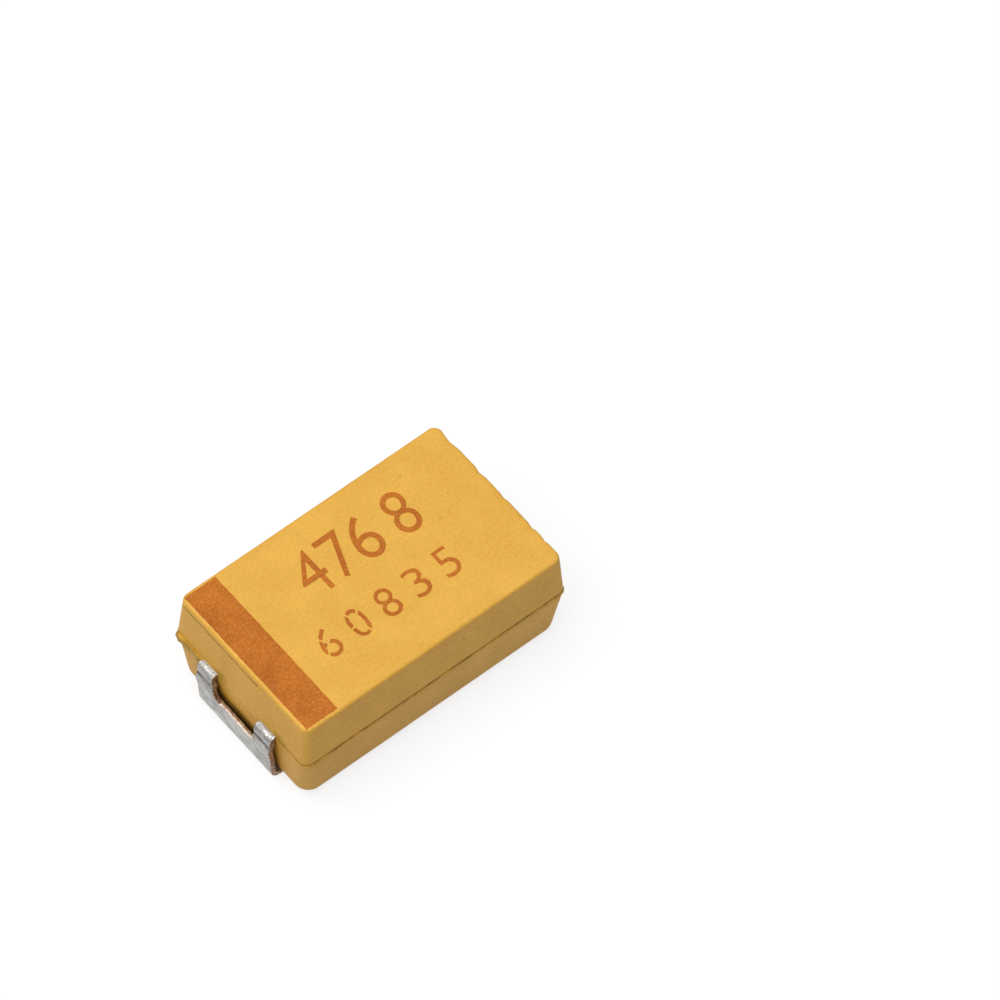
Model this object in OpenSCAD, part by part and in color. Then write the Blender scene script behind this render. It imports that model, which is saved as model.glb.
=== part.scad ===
// Moulded chip tantalum capacitor, EIA case 7343-31.
// Millimetres. +X runs from the anode to the cathode, +Z is up, and z = 0 is the board.

/* [Case] */
// Length of the case at the parting plane
case_l = 6.9; // [6.5:0.05:7.3]
// Width of the case at the parting plane
case_w = 4.3; // [4:0.05:4.6]
// Height of the half above the parting plane
upper_h = 1.28; // [1.16:0.02:1.5]
// Height of the half below the parting plane, down to the ledges over the pads
lower_h = 1.38; // [1.3:0.02:1.7]
// How far the upper walls lean in over their height
upper_inset = 0.08; // [0.04:0.01:0.12]
// How far the lower walls lean in over their height
lower_inset = 0.11; // [0.05:0.01:0.12]
// Radius of the upright corners at the parting plane
corner_r = 0.26; // [0.25:0.01:0.35]
// Radius of the edges round the marked face
top_edge_r = 0.07; // [0.04:0.01:0.1]
// Radius of the edges round the underside
bottom_edge_r = 0.14; // [0.05:0.01:0.15]
// How far the flash stands out along the parting line
flash_out = 0.03; // [0.01:0.005:0.06]
// Height of the flash
flash_h = 0.04; // [0.02:0.01:0.1]
// How far the resin that seeped out beside the anode terminal stands proud
bead_r = 0.06; // [0.03:0.01:0.08]
// Height of that bead of resin
bead_h = 0.22; // [0.17:0.01:0.3]

/* [Underside] */
// Height of the raised panel above the board
panel_clear = 0.05; // [0.02:0.01:0.09]
// Distance from the long edges of the panel to those of the underside
panel_inset = 0.12; // [0.08:0.01:0.3]
// Gap between the panel and the end of each pad
panel_gap = 0.04; // [0.02:0.01:0.2]
// Radius of the panel's corners
panel_corner_r = 0.15; // [0.1:0.01:0.3]
// Radius of the panel's lower edge
panel_edge_r = 0.04; // [0.02:0.005:0.045]
// How far the panel's walls lean in
panel_taper = 0.02; // [0.01:0.005:0.03]

/* [Terminals] */
// Thickness of the sheet
sheet_t = 0.12; // [0.1:0.01:0.15]
// Width of the terminals
sheet_w = 2.4; // [2.2:0.05:2.6]
// Length of the pads, from the outside of the terminal
pad_l = 1.3; // [1:0.05:1.5]
// Gap between each leg and the end of the case
leg_gap = 0.08; // [0.06:0.01:0.12]
// Gap between each pad and the ledge above it
pad_gap = 0.02; // [0.01:0.005:0.05]
// Inner radius of the bends at the ears
ear_bend_r = 0.05; // [0.03:0.01:0.08]
// Inner radius of the bends at the board
pad_bend_r = 0.13; // [0.08:0.01:0.18]
// Width of the slot between the ears
slot_w = 1.37; // [1.1:0.05:1.6]
// How far the slot lies off centre, which makes one ear wider
slot_shift = 0.025; // [0:0.005:0.1]
// Height of the bottom of the slot above the board
slot_z = 0.9; // [0.7:0.02:1.1]
// How far the slot runs on inside the case
slot_in = 0.35; // [0.2:0.01:0.4]
// Width of the sloped corner at the bottom of the slot
slot_slope_w = 0.2; // [0.1:0.01:0.3]
// Height of the sloped corner
slot_slope_h = 0.45; // [0.2:0.01:0.5]
// Radius between the sloped corner and the bottom of the slot
slot_r = 0.12; // [0.05:0.01:0.2]

/* [Anode inside] */
// Width of the tab that the wire is welded to
tab_w = 0.9; // [0.6:0.05:1.4]
// Distance from the end of the case to the end of the tab
tab_reach = 1.15; // [1:0.01:1.25]
// Distance from the end of the case to where the sheet narrows to the tab
shoulder_reach = 0.6; // [0.5:0.01:0.7]
// Distance from the end of the case to the face of the pellet
pellet_reach = 1.5; // [1.45:0.01:1.8]
// Diameter of the wire
wire_d = 0.36; // [0.25:0.01:0.45]
// Distance from the end of the case to the end of the wire
wire_reach = 0.65; // [0.62:0.01:0.9]
// Length of wire inside the pellet
wire_in = 3; // [2:0.1:3.8]
// Depth of the flat that the weld presses into the wire
weld_flat = 0.03; // [0.02:0.005:0.06]
// Diameter of the washer
washer_d = 1.1; // [0.8:0.05:1.5]
// Thickness of the washer
washer_t = 0.15; // [0.1:0.01:0.2]

/* [Pellet] */
// Height of the pellet
pellet_h = 1.7; // [1.4:0.02:1.8]
// Thickness of resin on each side of the coated pellet
side_wall = 0.5; // [0.4:0.02:0.8]
// Thickness of the graphite coat
graphite_t = 0.03; // [0.02:0.005:0.05]
// Thickness of the silver coat
silver_t = 0.03; // [0.02:0.005:0.05]
// Thickness of the silver adhesive
adhesive_t = 0.05; // [0.04:0.005:0.08]

/* [Cathode inside] */
// Distance from the end of the case to the riser
riser_reach = 0.6; // [0.55:0.01:0.7]
// Inner radius of the bend where the sheet turns up
riser_bend_r = 0.06; // [0.04:0.01:0.08]
// Width of the tongue that lies over the pellet
tongue_w = 2; // [1.6:0.05:2.2]
// Length of pellet that the tongue covers
tongue_l = 1.2; // [0.8:0.05:2]

/* [Marking] */
// Width of the polarity band
band_w = 0.83; // [0.6:0.01:1.2]
// Depth of the polarity band
band_t = 0.02; // [0.01:0.005:0.04]

/* [Hidden] */
$fn = 48;
// Overlap that makes cuts run past a surface
eps = 0.5;
resin = "#e3b04f";
tin = "#c9cccb";
band_ink = "#c26c2a";

ledge_z = sheet_t + pad_gap;
parting_z = ledge_z + lower_h;
top_z = parting_z + upper_h;
end_x = case_l / 2;
outer_x = end_x + leg_gap + sheet_t;

// Leg and bends, seen from the side
lean = atan(lower_inset / lower_h);
ear_outer_r = ear_bend_r + sheet_t;
pad_outer_r = pad_bend_r + sheet_t;
ear_c = [outer_x - ear_outer_r, parting_z - sheet_t / 2 - ear_bend_r];
pad_c = [
    ear_c[0] + (ear_outer_r - pad_outer_r + (pad_outer_r - ear_c[1]) * sin(lean)) / cos(lean),
    pad_outer_r
];
pad_end_x = outer_x - pad_l;

// Slot between the ears
slot_y0 = slot_shift - slot_w / 2;
slot_y1 = slot_shift + slot_w / 2;

// Pellet and its layers
coat_t = graphite_t + silver_t;
wire_z = parting_z - sheet_t / 2 + weld_flat - wire_d / 2;
pellet_x0 = -end_x + pellet_reach;
riser_x = end_x - riser_reach - sheet_t;
coated_x1 = riser_x - adhesive_t;
pellet_w = case_w - 2 * side_wall - 2 * coat_t;
coated_top = wire_z + pellet_h / 2 + coat_t;
riser_c = [riser_x + sheet_t + riser_bend_r, parting_z + sheet_t / 2 + riser_bend_r];
riser_z0 = riser_c[1];
tongue_z = coated_top + adhesive_t;

// Flat part of the marked face
mark_l = 2 * flat_end(case_l, upper_h, upper_inset, top_edge_r);
mark_w = 2 * flat_end(case_w, upper_h, upper_inset, top_edge_r);
// Flat part of the underside
under_w = 2 * flat_end(case_w, lower_h, lower_inset, bottom_edge_r);

// Where the face of a drafted block turns into its rounded edge
function flat_end(size, h, draft, edge_r) =
    size / 2 - draft * (h - edge_r) / h - edge_r / cos(atan(draft / h));

// Wall of a drafted block, from the centre of its corner outwards, with its edge rounded
module wall_profile(h, draft, r, edge_r) {
    a = atan(draft / h);
    c = [r - draft * (h - edge_r) / h - edge_r / cos(a), h - edge_r];
    intersection() {
        union() {
            polygon([[0, 0], [r, 0], c + edge_r * [cos(a), sin(a)], [c[0], h], [0, h]]);
            translate(c) circle(r = edge_r);
        }
        square([r, h]);
    }
}

// Block on z = 0 whose walls lean in, with rounded corners and a rounded upper edge
module drafted_block(l, w, h, draft, r, edge_r) {
    dx = l / 2 - r;
    dy = w / 2 - r;
    translate([-dx, -dy, 0]) cube([2 * dx, 2 * dy, h]);
    for (turn = [0, 180]) rotate([0, 0, turn]) {
        translate([dx, dy, 0]) rotate([90, 0, 0])
            linear_extrude(2 * dy) wall_profile(h, draft, r, edge_r);
        translate([-dx, dy, 0]) rotate([90, 0, 90])
            linear_extrude(2 * dx) wall_profile(h, draft, r, edge_r);
        translate([dx, dy, 0])
            rotate_extrude(angle = 90) wall_profile(h, draft, r, edge_r);
        translate([-dx, dy, 0]) rotate([0, 0, 90])
            rotate_extrude(angle = 90) wall_profile(h, draft, r, edge_r);
    }
}

// Part of a ring between two angles, less than half a turn apart
module ring_sector(r, t, from, to) {
    reach = 2 * (r + t);
    mid = (from + to) / 2;
    intersection() {
        difference() {
            circle(r = r + t);
            circle(r = r);
        }
        polygon([
            [0, 0],
            reach * [cos(from), sin(from)],
            reach * [cos(mid), sin(mid)],
            reach * [cos(to), sin(to)]
        ]);
    }
}

// What the sheet wraps round at the cathode end, seen from the side, from x = from outwards
module wrapped_profile(from, grow) {
    out = [cos(lean), -sin(lean)];
    pad_r = pad_bend_r + grow;
    ear_r = ear_bend_r + grow;
    polygon([
        [from, pad_c[1] - pad_r], [pad_c[0], pad_c[1] - pad_r], pad_c + pad_r * out,
        ear_c + ear_r * out, [ear_c[0], ear_c[1] + ear_r], [from, ear_c[1] + ear_r]
    ]);
    translate(pad_c) circle(r = pad_r);
    translate(ear_c) circle(r = ear_r);
}

// Pad, leg and ear of the cathode end, seen from the side, with the sheet run in to x = run_x
module sheet_profile(run_x) {
    difference() {
        wrapped_profile(pad_end_x, sheet_t);
        wrapped_profile(pad_end_x - eps, 0);
        translate([pad_end_x - eps, parting_z - sheet_t])
            square([run_x - pad_end_x + eps, 2 * sheet_t]);
    }
}

// Slot between the ears, seen from the end, with its sloped corner on the +Y side
module slot_outline() {
    top = parting_z + eps;
    slope = atan(slot_slope_h / slot_slope_w);
    tangent = slot_r * tan(slope / 2);
    corner = [slot_y1 - slot_slope_w, slot_z];
    polygon([
        [slot_y0, slot_z], corner - [tangent, 0], corner + tangent * [cos(slope), sin(slope)],
        [slot_y1, slot_z + slot_slope_h], [slot_y1, top], [slot_y0, top]
    ]);
    translate(corner + [-tangent, slot_r]) circle(r = slot_r);
}

module slot_cut() {
    translate([end_x - slot_in, 0, 0]) rotate([90, 0, 90])
        linear_extrude(slot_in + eps) slot_outline();
}

// Sheet of a width, made from its outline as seen from the side
module bent_sheet(w) {
    translate([0, w / 2, 0]) rotate([90, 0, 0]) linear_extrude(w) children();
}

module anode_terminal() {
    color(tin) mirror([1, 0, 0]) difference() {
        union() {
            bent_sheet(sheet_w) sheet_profile(end_x - shoulder_reach);
            translate([end_x - tab_reach, -tab_w / 2, parting_z - sheet_t / 2])
                cube([tab_reach - shoulder_reach, tab_w, sheet_t]);
        }
        slot_cut();
    }
}

module cathode_terminal() {
    color(tin) difference() {
        union() {
            bent_sheet(sheet_w) sheet_profile(riser_c[0]);
            bent_sheet(tongue_w) riser_profile();
        }
        slot_cut();
    }
}

// Riser and tongue of the cathode terminal, seen from the side
module riser_profile() {
    fold_c = [riser_x, tongue_z] - adhesive_t * [1, 1];
    translate(riser_c) ring_sector(riser_bend_r, sheet_t, 180, 270);
    translate([riser_x, riser_z0]) square([sheet_t, fold_c[1] - riser_z0]);
    translate(fold_c) ring_sector(adhesive_t, sheet_t, 0, 90);
    translate([coated_x1 - tongue_l, tongue_z]) square([tongue_l, sheet_t]);
}

// Glue under the tongue and behind the riser
module silver_adhesive() {
    corner = [coated_x1, coated_top];
    color("#b9b9b4") bent_sheet(tongue_w) {
        translate([corner[0], riser_z0]) square([adhesive_t, corner[1] - riser_z0]);
        translate(corner) intersection() {
            circle(r = adhesive_t);
            square(adhesive_t);
        }
        translate([corner[0] - tongue_l, corner[1]]) square([tongue_l, adhesive_t]);
    }
}

// Block that grows from the pellet by the thickness of the coats, on all but its anode face
module pellet_block(grow) {
    translate([pellet_x0, -pellet_w / 2 - grow, wire_z - pellet_h / 2 - grow])
        cube([coated_x1 - coat_t - pellet_x0 + grow, pellet_w + 2 * grow, pellet_h + 2 * grow]);
}

module wire_rod() {
    translate([-end_x + wire_reach, 0, wire_z]) rotate([0, 90, 0])
        cylinder(d = wire_d, h = pellet_reach - wire_reach + wire_in);
}

module anode_wire() {
    color("#8d8d93") difference() {
        wire_rod();
        anode_terminal();
    }
}

module pellet() {
    color("#4b4b50") difference() {
        pellet_block(0);
        wire_rod();
    }
}

module graphite_coat() {
    color("#2b2b2d") difference() {
        pellet_block(graphite_t);
        pellet_block(0);
    }
}

module silver_coat() {
    color("#a8a8a4") difference() {
        pellet_block(coat_t);
        pellet_block(graphite_t);
    }
}

module washer_disc() {
    translate([pellet_x0 - washer_t, 0, wire_z]) rotate([0, 90, 0])
        cylinder(d = washer_d, h = washer_t);
}

module wire_washer() {
    color("#e9e7df") difference() {
        washer_disc();
        wire_rod();
    }
}

module polarity_band() {
    color(band_ink) translate([-mark_l / 2, -mark_w / 2, top_z - band_t])
        cube([band_w, mark_w, band_t]);
}

// Raised panel of the underside, between the pads
module panel() {
    translate([0, 0, ledge_z]) mirror([0, 0, 1])
        drafted_block(
            2 * (pad_end_x - panel_gap), under_w - 2 * panel_inset, ledge_z - panel_clear,
            panel_taper, panel_corner_r, panel_edge_r
        );
}

module flash_ridge() {
    r = corner_r + flash_out;
    dx = case_l / 2 - corner_r;
    dy = case_w / 2 - corner_r;
    translate([0, 0, parting_z - flash_h / 2]) {
        translate([-dx - r, -dy, 0]) cube([2 * (dx + r), 2 * dy, flash_h]);
        translate([-dx, -dy - r, 0]) cube([2 * dx, 2 * (dy + r), flash_h]);
        for (x = [-dx, dx], y = [-dy, dy]) translate([x, y, 0]) cylinder(r = r, h = flash_h);
    }
}

// Bead of resin under the parting line, from the anode terminal to the corner of the case
module seeped_bead() {
    translate([-end_x, case_w / 2 - corner_r, parting_z]) rotate([90, 0, 0])
        linear_extrude(case_w / 2 - corner_r - sheet_w / 2) {
            translate([0, -bead_h + bead_r]) circle(r = bead_r);
            translate([-bead_r, -bead_h + bead_r]) square([bead_r, bead_h - 2 * bead_r]);
            translate([0, -bead_r]) circle(r = bead_r);
        }
}

module case() {
    color(resin) difference() {
        union() {
            translate([0, 0, parting_z])
                drafted_block(case_l, case_w, upper_h, upper_inset, corner_r, top_edge_r);
            translate([0, 0, parting_z]) mirror([0, 0, 1])
                drafted_block(case_l, case_w, lower_h, lower_inset, corner_r, bottom_edge_r);
            flash_ridge();
            seeped_bead();
            panel();
        }
        pellet_block(coat_t);
        washer_disc();
        wire_rod();
        anode_terminal();
        cathode_terminal();
        silver_adhesive();
        polarity_band();
    }
}

case();
anode_terminal();
cathode_terminal();
polarity_band();
pellet();
anode_wire();
wire_washer();
graphite_coat();
silver_coat();
silver_adhesive();
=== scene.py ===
"""Moulded chip tantalum capacitor: its looks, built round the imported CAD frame.

Shapes are modelled in millimetres and brought to metres by finish_piece at the end of each.
+X runs from the anode to the cathode, +Z is up, and z = 0 is the board.
"""
import math

import bmesh
import bpy
from mathutils import Matrix, Vector, noise


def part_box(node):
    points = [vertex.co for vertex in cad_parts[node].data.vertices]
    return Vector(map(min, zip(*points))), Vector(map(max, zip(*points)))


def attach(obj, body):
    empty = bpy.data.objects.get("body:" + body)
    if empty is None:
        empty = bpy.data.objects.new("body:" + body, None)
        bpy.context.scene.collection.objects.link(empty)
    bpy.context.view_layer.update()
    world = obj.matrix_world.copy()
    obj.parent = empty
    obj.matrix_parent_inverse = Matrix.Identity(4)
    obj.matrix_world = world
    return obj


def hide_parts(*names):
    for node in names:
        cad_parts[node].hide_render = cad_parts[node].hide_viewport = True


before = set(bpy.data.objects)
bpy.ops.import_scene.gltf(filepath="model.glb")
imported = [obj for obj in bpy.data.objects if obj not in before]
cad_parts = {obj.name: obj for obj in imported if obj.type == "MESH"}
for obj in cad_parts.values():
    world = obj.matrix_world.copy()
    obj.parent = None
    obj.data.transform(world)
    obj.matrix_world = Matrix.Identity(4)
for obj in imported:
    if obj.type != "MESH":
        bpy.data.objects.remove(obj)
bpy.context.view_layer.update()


def box_mm(node):
    """Lowest and highest corner of a CAD node, in millimetres."""
    low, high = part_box(node)
    return low * 1000, high * 1000


CASE_LOW, CASE_HIGH = box_mm("case")
BAND_LOW, BAND_HIGH = box_mm("polarity_band")
CATHODE_HIGH = box_mm("cathode_terminal")[1]

# Moulding. The resin stops just below the top of the marking.
FLASH_OUT = 0.03
HALF_L = CASE_HIGH.x - FLASH_OUT
HALF_W = CASE_HIGH.y - FLASH_OUT
TOP_Z = CASE_HIGH.z
PANEL_Z = CASE_LOW.z
LEDGE_Z = 0.14
PARTING_Z = 1.52
RESIN_TOP_Z = TOP_Z - 0.004
UPPER_INSET = 0.08
LOWER_INSET = 0.11
CORNER_R = 0.2
FOOT_CORNER_R = 0.36
TOP_EDGE_R = 0.07
BOTTOM_EDGE_R = 0.14
PANEL_HALF = (2.31, 1.79)
WITNESS_DROP = 0.17

# Terminals
SHEET_T = 0.12
OUTER_X = CATHODE_HIGH.x
HALF_SHEET = CATHODE_HIGH.y
PAD_END_X = 2.35
EAR_R = 0.17
PAD_R = 0.25
LEAN = math.atan(LOWER_INSET / (PARTING_Z - LEDGE_Z))
SLOT_Y = (-0.66, 0.71)
SLOT_Z = 0.9
SLOT_IN = 0.35
SLOPE_W = 0.2
SLOPE_H = 0.45
CREASE_Z = PARTING_Z - 0.27
# Where the flat of the pad ends, and about where the leg begins
PAD_FLAT_X = 3.3
LEG_FROM_X = 3.45
# Width of the slot floor's outer lip, which gets the bright finish: smeared tin with a painted
# highlight
LIP_WIDTH = 0.1
EAR_CLEAR_Y = 1.24
# The sheet inside the case
SHOULDER = 0.6
TAB_W, TAB_L = 0.9, 0.55
TONGUE_W, TONGUE_L = 2.0, 1.2
RISER_BEND_R = 0.06
TONGUE_BEND_R = 0.05

TINY = 1e-4


# ---------------------------------------------------------------- modelling


def deselect_all():
    if bpy.context.mode != "OBJECT":
        bpy.ops.object.mode_set(mode="OBJECT")
    bpy.ops.object.select_all(action="DESELECT")


def only(ob):
    deselect_all()
    ob.select_set(True)
    bpy.context.view_layer.objects.active = ob


def block(name, low, high):
    """A block between two corners, left in edit mode."""
    deselect_all()
    bpy.ops.mesh.primitive_cube_add(size=1)
    ob = bpy.context.active_object
    ob.name = ob.data.name = name
    bpy.ops.object.mode_set(mode="EDIT")
    bpy.ops.mesh.select_all(action="SELECT")
    low, high = Vector(low), Vector(high)
    bpy.ops.transform.resize(value=high - low)
    bpy.ops.transform.translate(value=(low + high) / 2)
    return ob


def choose(ob, kind, test):
    """Selects the corners, edges or faces that pass a test, in edit mode."""
    bpy.ops.mesh.select_mode(type=kind)
    bpy.ops.mesh.select_all(action="DESELECT")
    mesh = bmesh.from_edit_mesh(ob.data)
    mesh.normal_update()
    for part in {"VERT": mesh.verts, "EDGE": mesh.edges, "FACE": mesh.faces}[kind]:
        if test(part):
            part.select_set(True)
    mesh.select_flush_mode()
    bmesh.update_edit_mesh(ob.data)


def middle(edge):
    return (edge.verts[0].co + edge.verts[1].co) / 2


def along(edge, axis):
    """How nearly an edge runs along an axis, from 0 to 1."""
    run = edge.verts[1].co - edge.verts[0].co
    return abs(run[axis]) / max(run.length, 1e-9)


def cut(axis, places):
    """Cuts what is in edit mode across an axis at each place."""
    way = [0, 0, 0]
    way[axis] = 1
    for place in places:
        point = [0, 0, 0]
        point[axis] = place
        bpy.ops.mesh.select_all(action="SELECT")
        bpy.ops.mesh.bisect(plane_co=point, plane_no=way, threshold=TINY)


def steps(low, high, count):
    return [low + (high - low) * (i + 0.5) / count for i in range(count)]


def apply_modifiers(ob):
    only(ob)
    for modifier in list(ob.modifiers):
        bpy.ops.object.modifier_apply(modifier=modifier.name)


def combine(ob, tool, operation):
    """Joins or cuts a piece with another, which is used up."""
    only(ob)
    modifier = ob.modifiers.new(operation.lower(), "BOOLEAN")
    modifier.operation = operation
    modifier.solver = "EXACT"
    modifier.object = tool
    bpy.ops.object.modifier_apply(modifier=modifier.name)
    bpy.data.objects.remove(tool)


def soften_edges(ob, width, angle=40, segments=2):
    modifier = ob.modifiers.new("soft_edges", "BEVEL")
    modifier.width = width
    modifier.segments = segments
    modifier.limit_method = "ANGLE"
    modifier.angle_limit = math.radians(angle)
    apply_modifiers(ob)


def push(ob, how):
    """Moves each point of a mesh by what how(place, normal) says."""
    if bpy.context.mode != "OBJECT":
        bpy.ops.object.mode_set(mode="OBJECT")
    moved = [v.co + how(v.co.copy(), v.normal.copy()) for v in ob.data.vertices]
    for vertex, place in zip(ob.data.vertices, moved):
        vertex.co = place
    ob.data.update()


def rough(place, scale, seed=0.0):
    """Smooth noise from -1 to 1, with scale bumps to the millimetre."""
    return noise.noise(place * scale + Vector((seed, seed * 1.7, -seed)))


def hump(x, middle_x, half_width):
    """1 at the middle, falling smoothly to 0 at half_width from it."""
    t = min(1.0, abs(x - middle_x) / half_width)
    return 1 - t * t * (3 - 2 * t)


def ramp(x, start, end):
    t = min(1.0, max(0.0, (x - start) / (end - start)))
    return t * t * (3 - 2 * t)


def set_outward():
    bpy.ops.mesh.select_all(action="SELECT")
    bpy.ops.mesh.normals_make_consistent(inside=False)


def finish_piece(ob, nodes, materials, smooth=35):
    """Brings a piece to metres, and gives it its finish and its place in the part."""
    only(ob)
    bpy.ops.object.mode_set(mode="EDIT")
    bpy.ops.mesh.select_all(action="SELECT")
    bpy.ops.transform.resize(value=(0.001, 0.001, 0.001), center_override=(0, 0, 0))
    bpy.ops.object.mode_set(mode="OBJECT")
    bpy.ops.object.transform_apply(location=True, rotation=True, scale=True)
    bpy.ops.object.shade_smooth_by_angle(angle=math.radians(smooth))
    for material in materials:
        ob.data.materials.append(material)
    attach(ob, "root")
    if nodes:
        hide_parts(*nodes)
    return ob


# ---------------------------------------------------------------- materials


def new_group(name, inputs, outputs):
    """A shader node group with its sockets, as (group, nodes, links, input node, output node)."""
    group = bpy.data.node_groups.new(name, "ShaderNodeTree")
    kinds = {"f": "NodeSocketFloat", "c": "NodeSocketColor", "v": "NodeSocketVector"}
    for label, kind, value in inputs:
        socket = group.interface.new_socket(name=label, in_out="INPUT", socket_type=kinds[kind])
        socket.default_value = value
    for label, kind in outputs:
        group.interface.new_socket(name=label, in_out="OUTPUT", socket_type=kinds[kind])
    start = group.nodes.new("NodeGroupInput")
    end = group.nodes.new("NodeGroupOutput")
    return group, group.nodes, group.links, start, end


def node(nodes, kind, **settings):
    made = nodes.new(kind)
    for key, value in settings.items():
        setattr(made, key, value)
    return made


def millimetres(nodes, links):
    """Object coordinates, in millimetres."""
    place = nodes.new("ShaderNodeTexCoord")
    mapping = nodes.new("ShaderNodeMapping")
    mapping.inputs["Scale"].default_value = (1000, 1000, 1000)
    links.new(place.outputs["Object"], mapping.inputs["Vector"])
    return mapping.outputs["Vector"]


def noise_map(nodes, links, place, scale, detail=2.0, roughness=0.5):
    made = nodes.new("ShaderNodeTexNoise")
    made.inputs["Detail"].default_value = detail
    made.inputs["Roughness"].default_value = roughness
    links.new(place, made.inputs["Vector"])
    if isinstance(scale, (int, float)):
        made.inputs["Scale"].default_value = scale
    else:
        links.new(scale, made.inputs["Scale"])
    return made.outputs["Fac"]


def remap(nodes, links, value, low, high, to_low=0.0, to_high=1.0):
    made = nodes.new("ShaderNodeMapRange")
    links.new(value, made.inputs["Value"])
    ends = {"From Min": low, "From Max": high, "To Min": to_low, "To Max": to_high}
    for label, x in ends.items():
        made.inputs[label].default_value = x
    return made.outputs["Result"]


def maths(nodes, links, operation, a, b=0.5):
    made = node(nodes, "ShaderNodeMath", operation=operation)
    for socket, x in zip(made.inputs, (a, b)):
        if isinstance(x, (int, float)):
            socket.default_value = x
        else:
            links.new(x, socket)
    return made.outputs[0]


def blend_colours(nodes, links, factor, a, b):
    made = node(nodes, "ShaderNodeMix", data_type="RGBA")
    for socket, x in ((made.inputs[0], factor), (made.inputs[6], a), (made.inputs[7], b)):
        if isinstance(x, (int, float, tuple)):
            socket.default_value = x
        else:
            links.new(x, socket)
    return made.outputs[2]


def make_grain():
    """Fine grain and broad mottling of a surface, mixed between two colours."""
    group, nodes, links, start, end = new_group(
        "grain",
        [("Colour", "c", (0.8, 0.8, 0.8, 1)), ("Dark", "c", (0.5, 0.5, 0.5, 1)),
         ("Fineness", "f", 14.0), ("Mottling", "f", 0.5)],
        [("Colour", "c"), ("Height", "f")],
    )
    place = millimetres(nodes, links)
    fine = noise_map(nodes, links, place, start.outputs["Fineness"], 3.0, 0.6)
    broad = noise_map(nodes, links, place, 1.3, 2.0)
    fine_part = remap(nodes, links, fine, 0.35, 0.65)
    broad_part = remap(nodes, links, broad, 0.35, 0.65)
    broad_part = maths(nodes, links, "MULTIPLY", broad_part, start.outputs["Mottling"])
    both = maths(nodes, links, "MULTIPLY", fine_part, 0.5)
    both = maths(nodes, links, "ADD", both, broad_part)
    colour = blend_colours(nodes, links, both, start.outputs["Colour"], start.outputs["Dark"])
    links.new(colour, end.inputs["Colour"])
    links.new(fine, end.inputs["Height"])
    return group


def make_specks():
    """Scattered specks of another colour. Rarity runs from 0, in every cell, to 1, in none."""
    group, nodes, links, start, end = new_group(
        "specks",
        [("Colour", "c", (0.8, 0.8, 0.8, 1)), ("Speck", "c", (0.2, 0.1, 0.05, 1)),
         ("Density", "f", 3.0), ("Size", "f", 0.08), ("Rarity", "f", 0.6), ("Strength", "f", 0.6)],
        [("Colour", "c"), ("Mask", "f")],
    )
    place = millimetres(nodes, links)
    cells = node(nodes, "ShaderNodeTexVoronoi", feature="F1")
    links.new(place, cells.inputs["Vector"])
    links.new(start.outputs["Density"], cells.inputs["Scale"])
    near = maths(nodes, links, "LESS_THAN", cells.outputs["Distance"], start.outputs["Size"])
    apart = node(nodes, "ShaderNodeSeparateColor")
    links.new(cells.outputs["Color"], apart.inputs["Color"])
    chosen = maths(nodes, links, "GREATER_THAN", apart.outputs[0], start.outputs["Rarity"])
    mask = maths(nodes, links, "MULTIPLY", near, chosen)
    amount = maths(nodes, links, "MULTIPLY", mask, start.outputs["Strength"])
    colour = blend_colours(nodes, links, amount, start.outputs["Colour"], start.outputs["Speck"])
    links.new(colour, end.inputs["Colour"])
    links.new(mask, end.inputs["Mask"])
    return group


def make_scuffs():
    """Fine scratches and pits of handled sheet metal."""
    group, nodes, links, start, end = new_group(
        "scuffs",
        [("Scratches", "f", 9.0), ("Pits", "f", 16.0), ("Stretch", "f", 0.12)],
        [("Mask", "f"), ("Height", "f")],
    )
    place = millimetres(nodes, links)
    drawn = node(nodes, "ShaderNodeVectorMath", operation="MULTIPLY")
    links.new(place, drawn.inputs[0])
    ways = nodes.new("ShaderNodeCombineXYZ")
    ways.inputs[0].default_value = 1.0
    links.new(start.outputs["Stretch"], ways.inputs[1])
    ways.inputs[2].default_value = 1.0
    links.new(ways.outputs[0], drawn.inputs[1])
    lines = noise_map(nodes, links, drawn.outputs[0], start.outputs["Scratches"], 3.0, 0.7)
    lines = remap(nodes, links, lines, 0.42, 0.62)
    pits = noise_map(nodes, links, place, start.outputs["Pits"], 2.0, 0.6)
    pits = remap(nodes, links, pits, 0.3, 0.6)
    both = maths(nodes, links, "MULTIPLY", lines, pits)
    links.new(both, end.inputs["Mask"])
    links.new(maths(nodes, links, "ADD", lines, pits), end.inputs["Height"])
    return group


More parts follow.
